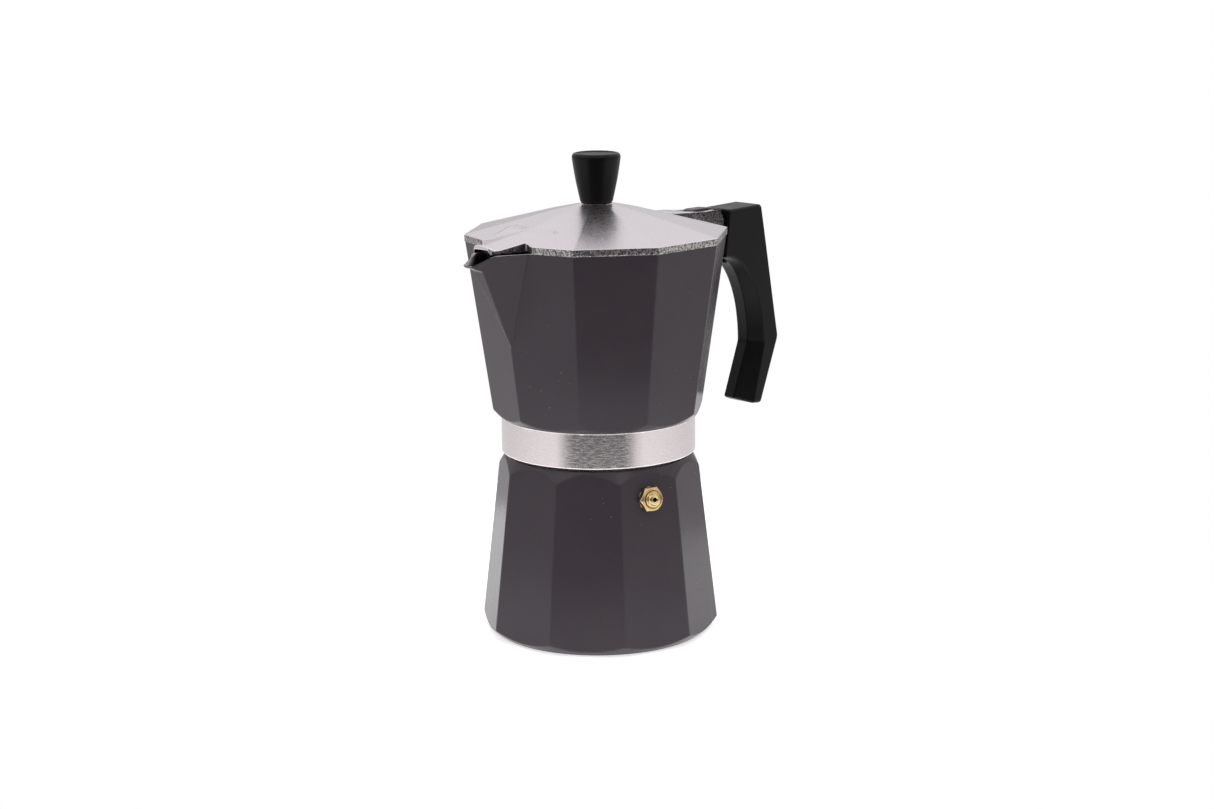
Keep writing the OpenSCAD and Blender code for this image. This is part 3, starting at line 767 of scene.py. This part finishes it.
# ---------------------------------------------------------------- lid
def lid_height(x, y):
    """Upper surface of the lid: a ten-sided roof and the flatter hood that runs out over the spout."""
    phi = np.radians(18 + 36 * np.arange(10))
    rho = np.stack([(x * math.cos(p) + y * math.sin(p)) / FLAT for p in phi])
    rho = np.sort(rho, axis=0)
    rho = smax(rho[-1], rho[-2], 0.55)
    outer = LID_RIM_Z + LID_SLOPE * (LID_CORNER - rho)
    inner = LID_RIM_Z + LID_SLOPE * (LID_CORNER - CROWN_CORNER) + CROWN_SLOPE * (CROWN_CORNER - rho)
    roof = smin(outer, inner, 0.12)
    ay = np.abs(y)
    out = np.clip(HOOD_BACK_X - x, 0.01, None)             # distance out from the hood's back corner
    half = np.where(out < 11.2, 0.83 * out, 9.3 - 0.265 * (out - 11.2))
    spine = 179.4 - 0.1511 * out                           # runs out nearly level to the tip
    edge = np.interp(out, (0, 11.2, 22.0, 25.0, 27.0, 40), (179.4, 176.0, 173.75, 173.7, 174.7, 174.9))
    share = np.clip(ay / half, 0, 1.3)
    hood = spine + (edge - spine) * (0.75 * share + 0.25 * share ** 3)
    return np.where((x < -36) & (ay < 14), smax(roof, hood, 0.10), roof)


def lid():
    corners = [(LID_CORNER * c, LID_CORNER * s) for s, c in arc(*range(0, 180, 36))]
    notch_end, hood_side, hood_tip = (-51.9, 15.2), (-49.7, 9.3), (-66.3, 4.9)
    half = corners[1:] + [notch_end, hood_side, hood_tip]
    outline = [corners[0]] + half + [(x, -y) for x, y in half[::-1]]
    radii = [1.1] + [1.1] * 4 + [1.4, 0.6, 1.5, 1.5, 0.6, 1.4] + [1.1] * 4
    pts = fillet(outline, radii, n=6, closed=True)
    full = []
    for i, p in enumerate(pts):
        q = pts[(i + 1) % len(pts)]
        full.append(p)
        parts = int((q - p).length / (1.2 if p[0] < -46 else 2.8))
        full += [p.lerp(q, k / (parts + 1)) for k in range(1, parts + 1)]
    x, y = np.array([p[0] for p in full]), np.array([p[1] for p in full])
    theta, big = np.arctan2(y, x), np.hypot(x, y)
    order = np.argsort(theta)
    theta, big = theta[order], big[order]
    a = np.abs(np.abs(theta) - math.pi)
    deg = np.degrees(a)
    zero = 0 * theta
    hood = 1 - step(deg, 10.2, 10.9)             # 1 on the hood's free edge
    tip = 1 - step(deg, 3.3, 4.6)                # 1 on its front bar
    notch = step(deg, 10.3, 11.2) * (1 - step(deg, 15.0, 16.6))    # worn end of the skirt, on one side
    notch = notch * np.where(theta < 0, 1, -0.1)
    d = np.mod(theta, TAU / 10) - math.pi / 10
    crown = CROWN_CORNER * FLAT / np.cos(d)      # radius of the crown's edge, then of the hood's crease
    crease = np.where(deg < 13.0, -HOOD_BACK_X / np.clip(np.cos(a) - 1.2043 * np.sin(a), 0.6, 2), 60)
    crease = np.minimum(crease, big - 2.6)
    rows = []

    def at(r, drop=0.0, lift=0.0):
        return lid_height(r * np.cos(theta), r * np.sin(theta)) - drop + lift

    def row(r, z):
        rows.append(polar(theta, r + zero, z + zero))

    # upper surface: knob seat, crown, roof, crease, hood or outer roof
    for r, drop in ((0, 0), (4, 0), (6.6, 0), (6.85, 0.08), (7.05, 0.28)):
        row(r, KNOB_SEAT - drop)
    for t in (0.03, 0.12, 0.4, 0.75, 1.0):
        r = 7.05 + (crown - 7.85) * t
        row(r, at(r))
    for s in (-0.3, 0, 0.3, 0.8):
        row(crown + s, at(crown + s))
    for t in np.linspace(0.06, 1, 14):
        r = crown + 0.8 + (crease - 0.6 - crown - 0.8) * t
        row(r, at(r))
    for s in (-0.35, -0.15, 0.0, 0.15, 0.35, 0.6):
        row(crease + s, at(crease + s))
    e = 0.35 + 0.4 * hood + 1.1 * notch      # radius of the upper edge
    for t in (0.15, 0.35, 0.55, 0.75, 0.9, 1.0):
        r = crease + 0.6 + (big - e - crease - 0.6) * t
        bulge = 0.35 * tip * step(r, big - 2.6, big - 1.3)
        row(r, at(r, lift=bulge))
    edge_z = at(big - e, lift=0.35 * tip)
    for s, c in arc(15, 30, 45, 60, 75, 90):
        row(big - e + e * s, edge_z - e * (1 - c))
    # skirt
    skirt_from = len(rows) - 2
    foot = 171.75 + 1.9 * tip                # lower edge, cut back over the spout's lip
    for t in (0.35, 0.7):
        row(big, edge_z - e + (foot + 0.35 - edge_z + e) * t)
    row(big, foot + 0.35)
    row(big - 0.08, foot + 0.12)
    row(big - 0.35, foot)
    thick = 2.1 - 0.5 * hood
    row(big - thick + 0.15, foot)
    row(big - thick, foot + 0.15)
    skirt_to = len(rows)
    # underside
    inner = big - thick
    wall = 1.7 * (1 - hood) + 1.2 * hood
    deep = np.maximum(at(inner - 0.2, drop=wall), foot + 0.2)
    row(inner - 0.03, foot * 0.4 + deep * 0.6)
    row(inner - 0.3, deep)
    for t in (0.15, 0.4, 0.7, 1.0):
        r = inner - 0.3 + (crown - inner + 0.3) * t
        row(r, at(r, drop=LID_WALL))
    for r, z in ((12, None), (8.6, None), (7.6, 184.9), (7.2, 184.8), (4, 184.8), (0, 184.8)):
        row(r, at(zero + r, drop=LID_WALL) if z is None else z)      # None is on the roof's inside
    bm = bmesh.new()
    mats = [1 if skirt_from <= i < skirt_to else 0 for i in range(len(rows))]
    add_grid(bm, np.stack(rows), mats)
    for face in bm.faces:
        x, y, z = face.calc_center_median()
        if x < -49.0 and abs(y) < 15.4 and face.material_index == 1:
            on_side = x > -65 and abs(y) < 9.3                       # of the hood, not its front bar
            # the hood's side skirt takes the darker metal as painted shade; the front bar and notch ends
            # keep the lid metal
            face.material_index = 2 if on_side else 0
    return finish_mesh("lid_shell", bm, "lid", ["lid"], [LID_METAL, EDGE, FLANK_SHADE])


def hinge():
    ear_end = [(HINGE_X + 6 * c, HINGE_Z + 6 * s) for s, c in arc(*range(88, -100, -11))]
    ear = [(40.5, 178.6), (42, 178.9), (49, 178.5), (58, 177.55), (63, 177.45)] + ear_end + [
        (62.4, 167.8), (57.5, 171.8), (57.3, 173.6), (53, 174.6), (42, 177.0)]
    gap = [(51.5, 160), (90, 160), (90, 190), (51.5, 190)]
    bm = cut_by(temporary(extruded(ear, -6.5, 6.5)), temporary(extruded(gap, -3.2, 3.2)))
    bmesh.ops.dissolve_limit(bm, angle_limit=math.radians(1), verts=bm.verts, edges=bm.edges)

    def long_top_edge(e):
        on_top = all(abs(v.co.y) > 6.4 and v.co.z > 177.3 and v.co.x < 60 for v in e.verts)
        return on_top and e.calc_length() > 0.6 and abs((e.verts[0].co - e.verts[1].co).x) > 0.5

    outer = [e for e in bm.edges if long_top_edge(e)]
    bevel(bm, outer, 2.0, 6)
    bevel_sharp(bm, 0.9, 4, 30)
    for face in bm.faces:
        if abs(face.normal.y) > 0.9 and face.calc_center_median().x > 57.8:
            face.material_index = 1          # painted shade on the ears' flat flanks
    finish_mesh("lid_hinge_ears", bm, "lid", [], [LID_METAL, FLANK_SHADE])
    lug = extruded([(51.7, 147.5), (54.2, 148.5), (56, 154), (60, 158.5), (68, 161.5), (87, 161.5),
        (87, 174), (75.8, 174), (75.8, 176.6), (72.5, 177.6), (66, 178.5), (58, 178.5), (56.2, 177.9),
        (55.0, 176.6), (54.6, 172.4), (54.3, 171.6), (53.4, 170)], -3, 3)
    bevel_sharp(lug, 0.6, 3, 24)
    finish_mesh("collector_lug", lug, "collector", [], [PAINT])
    pin = fillet([(0, 0), (1.5, 0), (1.5, 12.9), (0, 12.9)], [0, 0.3, 0.3, 0], 5)
    m = Matrix.Translation((HINGE_X, 6.45, HINGE_Z)) @ Matrix.Rotation(math.pi / 2, 4, "X")
    turned("hinge_rod", pin, "collector", ["hinge_pin"], [FLANK_SHADE], 32, m)


# ---------------------------------------------------------------- handle
def handle():
    end_top, end_low, crown = Vector((75.9, 177.0)), Vector((72.8, 155.6)), Vector((96.6, 177.6))
    bend, foot = Vector((108.9, 115.5)), Vector((97.3, 85.5))
    side_e, face_e = (74, 113, 24.6, 42.6), (72, 113, 21.1, 42.6)    # arch: centre x, z, half width, height
    crown_at = 0.45                          # share of the arch's rows before the crown

    def ellipse(e, t):
        return Vector((e[0] + e[2] * math.cos(math.radians(t)), e[1] + e[3] * math.sin(math.radians(t))))

    def back(u):
        if u < crown_at:
            return end_top.lerp(crown, u / crown_at)
        return crown.lerp(bend, (u - crown_at) / (1 - crown_at))

    # each row: the back, the flank's inner edge, the chamfer's inner edge
    c_i, b_i = 18, 40                        # the rows at the crown and at the bend
    raw = [(end_top, end_low, end_low - Vector((0.3, 0.15)))]
    for i in range(1, b_i):
        u = i / b_i
        raw.append((back(u), ellipse(side_e, 90 * (1 - u) + 2), ellipse(face_e, 90 * (1 - u) + 2)))
    raw.append((bend, Vector((99.4, 113.4)), Vector((93.0, 114.2))))
    raw.append((foot, Vector((92.2, 86.0)), Vector((83.6, 89.0))))

    def mix(a, b, t):
        return tuple(p.lerp(q, t) for p, q in zip(a, b))

    def smooth_row(i, dist):
        """Rows that round the corner of the back at row i over a distance."""
        before = mix(raw[i], raw[i - 1], dist / (raw[i][0] - raw[i - 1][0]).length)
        after = mix(raw[i], raw[i + 1], dist / (raw[i][0] - raw[i + 1][0]).length)
        out = []
        for k in range(7):
            t = k / 6
            out.append(mix(mix(before, raw[i], t), mix(raw[i], after, t), t))
        return out

    rows = raw[:c_i] + smooth_row(c_i, 1.15) + raw[c_i + 1 : b_i - 1] + smooth_row(b_i, 1.6)
    last = raw[-1]
    rows += [mix(raw[b_i], last, t) for t in (0.2, 0.4, 0.6, 0.8, 0.93)]

    def section(row, shrink=0.0):
        o, s, f = row
        ring = [Vector((p[0], y, p[1])) for p, y in ((o, 8), (o, -8), (s, -8), (f, -3), (f, 3), (s, 8))]
        if shrink:
            mid = sum(ring, Vector()) / 6
            ring = [p + (mid - p).normalized() * shrink * (1.25 if abs(p[1]) > 7 else 1.0) for p in ring]
        return fillet(ring, [1.3, 1.3, 1.1, 1.0, 1.0, 1.1], 4, closed=True)

    sections = []
    for s, c in arc(90, 60, 30):
        sections.append(section(mix(rows[0], rows[1], 0.25 * (1 - s)), 0.9 * (1 - c)))
    sections += [section(mix(rows[0], rows[1], 0.3))] + [section(r) for r in rows[1:]]
    for s, c in arc(0, 30, 60, 85):
        sections.append(section(mix(raw[b_i], last, 0.96 + 0.04 * s), 1.2 * (1 - c)))
    bm = bmesh.new()
    rings = [[bm.verts.new(p) for p in ring] for ring in sections]
    n = len(rings[0])
    for a, b in zip(rings, rings[1:]):
        for j in range(n):
            bm.faces.new((a[j], a[(j + 1) % n], b[(j + 1) % n], b[j]))
    bm.faces.new(rings[0][::-1])
    bm.faces.new(rings[-1])
    bmesh.ops.recalc_face_normals(bm, faces=bm.faces)
    hole = bmesh.new()
    bmesh.ops.create_cone(hole, cap_ends=True, segments=40, radius1=3.3, radius2=3.3, depth=17,
        matrix=Matrix.Translation((77.5, 0, 148.5)))
    bm = cut_by(temporary(bm), temporary(hole))
    return finish_mesh("handle_grip", bm, "collector", ["handle"], [PLASTIC], sharp=40)


# ---------------------------------------------------------------- knob and valve
def knob():
    outline = [(0, KNOB_SEAT), (6.3, KNOB_SEAT), (7.0, 187.6), (7.3, 189), (7.95, 192), (8.7, 195.5),
        (9.4, 199.3), (10.0, 203), (10.38, 205.8), (10.4, 206.9), (9.8, 207.95), (8.8, 208.2),
        (8.1, 207.7), (0, 207.5)]
    radii = [0, 0.7, 1.2, 3, 8, 20, 20, 12, 4, 1.3, 0.9, 0.6, 1.0, 0]
    turned("lid_knob_grip", fillet(outline, radii, 5), "lid", ["lid_knob"], [PLASTIC], 96)


def valve_frame():
    """Matrix that stands the valve on its flat of the boiler, square to it."""
    az = BOILER_TURN - math.pi / 2
    tilt = math.atan(BOILER_TAPER * FLAT)
    face = boiler_corner(VALVE_Z) * FLAT
    return (Matrix.Translation((face * math.cos(az), face * math.sin(az), VALVE_Z))
        @ Matrix.Rotation(az, 4, "Z") @ Matrix.Rotation(math.pi / 2 - tilt, 4, "Y"))


def valve():
    m = valve_frame()
    turn = math.pi / 6                       # flats above and below, corners to the sides
    theta = sector_angles(turn, (-0.5, -0.3, -0.15, -0.05, 0.05, 0.15, 0.3, 0.5), 6.0, 9, sides=6)
    zero = 0 * theta
    side = flats(theta, zero + 5.0, turn, k=0.12, sides=6)
    rows = []

    def row(r, z):
        rows.append(polar(theta, r + zero, z + zero))

    # shank, hexagon with its upper chamfer, rolled lip, bore
    for r, z in ((1.2, -6.5), (3.9, -6.5), (4.0, -6.4), (4.0, 0.6), (side - 0.12, 0.6)):
        row(r, z)
    row(smin(side - 0.03, zero + 5.8, 0.12), 0.66)
    for z in (0.8, 1.6, 2.3, 2.5, 2.65, 2.8, 2.95, 3.1, 3.22):
        chamfer = 5.8 - max(0.0, z - 2.3)
        row(smin(side, zero + chamfer, 0.12), z)
    for r, z in ((4.8, 3.3), (4.62, 3.31), (4.54, 3.36), (4.5, 3.48), (4.46, 3.66), (4.36, 3.78),
            (4.2, 3.8), (4.05, 3.77), (3.95, 3.68), (3.86, 3.5), (3.78, 3.38), (3.6, 3.32), (2.65, 3.3),
            (2.6, 3.2), (2.6, -5.2), (2.5, -5.3), (1.3, -5.3), (1.2, -5.4)):
        row(r, z)
    bm = bmesh.new()
    add_grid(bm, np.stack(rows), [0] * len(rows), close_rows=True)
    bmesh.ops.transform(bm, matrix=m, verts=bm.verts)
    finish_mesh("valve_hexagon", bm, "boiler", ["safety_valve_body"], [BRASS])
    outline = [(0.95, 0.8), (2.55, 0.8), (2.55, 3.32), (3.55, 3.32), (3.55, 3.9), (3.2, 4.35),
        (2.75, 4.45), (2.3, 5.2), (1.5, 5.5), (0.95, 5.15)]
    nozzle = fillet(outline, [0.1, 0.1, 0.1, 0.2, 0.3, 0.3, 0.25, 0.5, 0.25, 0.15], 4, closed=True)
    turned("valve_nozzle", nozzle, "boiler", ["safety_valve_plug"], [BRASS], 48, m)


# ---------------------------------------------------------------- build
boiler()
collector()
lid()
hinge()
handle()
knob()
valve()

SLOT_MATERIAL = {"bare_aluminium": PRESSED, "brass": BRASS, "steel": STEEL, "silicone": SILICONE,
    "grey_paint": PAINT, "black_plastic": PLASTIC}
SLOTS = {s["node"]: s["material_slot"] for s in frame["record"]["subparts"]}
for node_name, node_obj in frame["nodes"].items():
    node_obj.data.materials.clear()
    node_obj.data.materials.append(SLOT_MATERIAL[SLOTS[node_name]])

# ---------------------------------------------------------------- camera
cam_data = bpy.data.cameras.new("camera")
cam_data.lens, cam_data.sensor_width = 70.93, 36.0
cam_data.clip_start, cam_data.clip_end = 0.01, 50
camera = new_object("camera", cam_data)
CAM_BACK, CAM_HEIGHT = 1.01465, 0.31695
pitch, yaw, roll, spin = (math.radians(v) for v in (12.135, 0.214, -0.447, 134.347))
ahead = Vector((math.sin(yaw) * math.cos(pitch), math.cos(yaw) * math.cos(pitch), -math.sin(pitch)))
right = Vector((math.cos(yaw), -math.sin(yaw), 0))
up = right.cross(ahead)
right, up = right * math.cos(roll) + up * math.sin(roll), up * math.cos(roll) - right * math.sin(roll)
turn_back = Matrix(((math.sin(spin), -math.cos(spin), 0), (math.cos(spin), math.sin(spin), 0), (0, 0, 1)))
rot = Matrix([turn_back @ v for v in (right, up, -ahead)]).transposed()
camera.matrix_world = Matrix.Translation(turn_back @ Vector((0, -CAM_BACK, CAM_HEIGHT))) @ rot.to_4x4()
bpy.context.scene.camera = camera

# ---------------------------------------------------------------- floor and light
FLOOR_R, FLOOR_SIDES = 0.27, 96
floor_mesh = bpy.data.meshes.new("floor")
floor_angles = [TAU * i / FLOOR_SIDES for i in range(FLOOR_SIDES)]
floor_ring = [(FLOOR_R * math.cos(t), FLOOR_R * math.sin(t), 0) for t in floor_angles]
floor_mesh.from_pydata(floor_ring, [], [tuple(range(FLOOR_SIDES))])
floor = new_object("floor", floor_mesh)
floor_mat = bpy.data.materials.new("pale_floor")
floor_mat.use_nodes = True
floor_skin = floor_mat.node_tree.nodes["Principled BSDF"].inputs
floor_skin["Base Color"].default_value = (0.9, 0.9, 0.9, 1)
floor_skin["Roughness"].default_value = 0.9
floor_skin["Emission Color"].default_value = (1, 1, 1, 1)
floor_skin["Emission Strength"].default_value = 0.6
floor_mesh.materials.append(floor_mat)

VIEW_AZ = math.atan2(-0.7256, -0.70924)      # direction from the object to the camera


def area(name, azimuth, height, distance, size, power):
    """Square soft box, its azimuth in degrees from the camera's, aimed at the middle of the pot."""
    data = bpy.data.lights.new(name, "AREA")
    data.shape, data.size, data.size_y = "RECTANGLE", size, size
    data.energy = power
    obj = new_object(name, data)
    a = VIEW_AZ + math.radians(azimuth)
    obj.location = Vector((distance * math.cos(a), distance * math.sin(a), height))
    obj.rotation_euler = (Vector((0, 0, 0.1)) - obj.location).to_track_quat("-Z", "Y").to_euler()


area("left_box", -80, 1.0, 1.1, 0.8, 0.4)
area("right_box", 100, 1.2, 1.0, 0.8, 1.0)
area("front_left_box", -46, 0.97, 0.85, 0.5, 0.4)
area("front_right_box", 32, 1.0, 0.85, 0.3, 0.3)

world = bpy.data.worlds.new("studio")
bpy.context.scene.world = world
world.use_nodes = True
wt = world.node_tree
wt.nodes.clear()


def wnode(kind, inputs=None, **props):
    n = wt.nodes.new(kind)
    for k, v in props.items():
        setattr(n, k, v)
    for k, v in (inputs or {}).items():
        if isinstance(v, bpy.types.NodeSocket):
            wt.links.new(v, n.inputs[k])
        else:
            n.inputs[k].default_value = v
    return n


def ramp(value, a, b, c, d, kind="LINEAR"):
    inputs = {"Value": value, "From Min": a, "From Max": b, "To Min": c, "To Max": d}
    return wnode("ShaderNodeMapRange", inputs, interpolation_type=kind).outputs[0]


def wmath(operation, *values):
    return wnode("ShaderNodeMath", dict(enumerate(values)), operation=operation).outputs[0]


# a pale room, a little brighter upwards, with a dark patch at the photographer's place
direction = wnode("ShaderNodeTexCoord").outputs["Generated"]
parts = wnode("ShaderNodeSeparateXYZ", {"Vector": direction})
height = parts.outputs[2]
level = wnode("ShaderNodeCombineXYZ", {"X": parts.outputs[0], "Y": parts.outputs[1]}).outputs[0]
flat_dir = wnode("ShaderNodeVectorMath", {0: level}, operation="NORMALIZE").outputs[0]
to_camera = (math.cos(VIEW_AZ), math.sin(VIEW_AZ), 0)
facing = wnode("ShaderNodeVectorMath", {0: flat_dir, 1: to_camera}, operation="DOT_PRODUCT")
toward = facing.outputs["Value"]
in_front = ramp(toward, 0.62, 0.88, 0.0, 1.0, "SMOOTHSTEP")
low_down = ramp(height, 0.30, 0.60, 1.0, 0.0, "SMOOTHSTEP")
gloom = wmath("MULTIPLY", in_front, low_down)
walls = ramp(toward, -0.57, 0.5, 0.70, 0.84)
ground_glow = ramp(height, -0.5, -0.2, 1.35, 1.0)
horizon = ramp(height, -0.16, -0.02, 1.0, 0.6)
upper = ramp(height, 0.08, 0.24, 1.0, 1.667)
room_level = walls
for gain in (ground_glow, horizon, upper):
    room_level = wmath("MULTIPLY", room_level, gain)
ceiling = ramp(height, 0.1, 0.6, 0.0, 0.14)
room_level = wmath("ADD", room_level, ceiling)
lit = wmath("MULTIPLY", room_level, wmath("MULTIPLY_ADD", gloom, -1.0, 1.0))
strength = wmath("MULTIPLY_ADD", gloom, 0.14, lit)
room = wnode("ShaderNodeBackground", {"Color": (1.0, 0.985, 0.995, 1), "Strength": strength})
white = wnode("ShaderNodeBackground", {"Color": (1, 1, 1, 1), "Strength": 1.0})
is_camera = wnode("ShaderNodeLightPath").outputs["Is Camera Ray"]
both = wnode("ShaderNodeMixShader", {0: is_camera, 1: room.outputs[0], 2: white.outputs[0]})
wnode("ShaderNodeOutputWorld", {0: both.outputs[0]})

bpy.context.scene.view_settings.view_transform = "Standard"
bpy.context.scene.view_settings.look = "None"
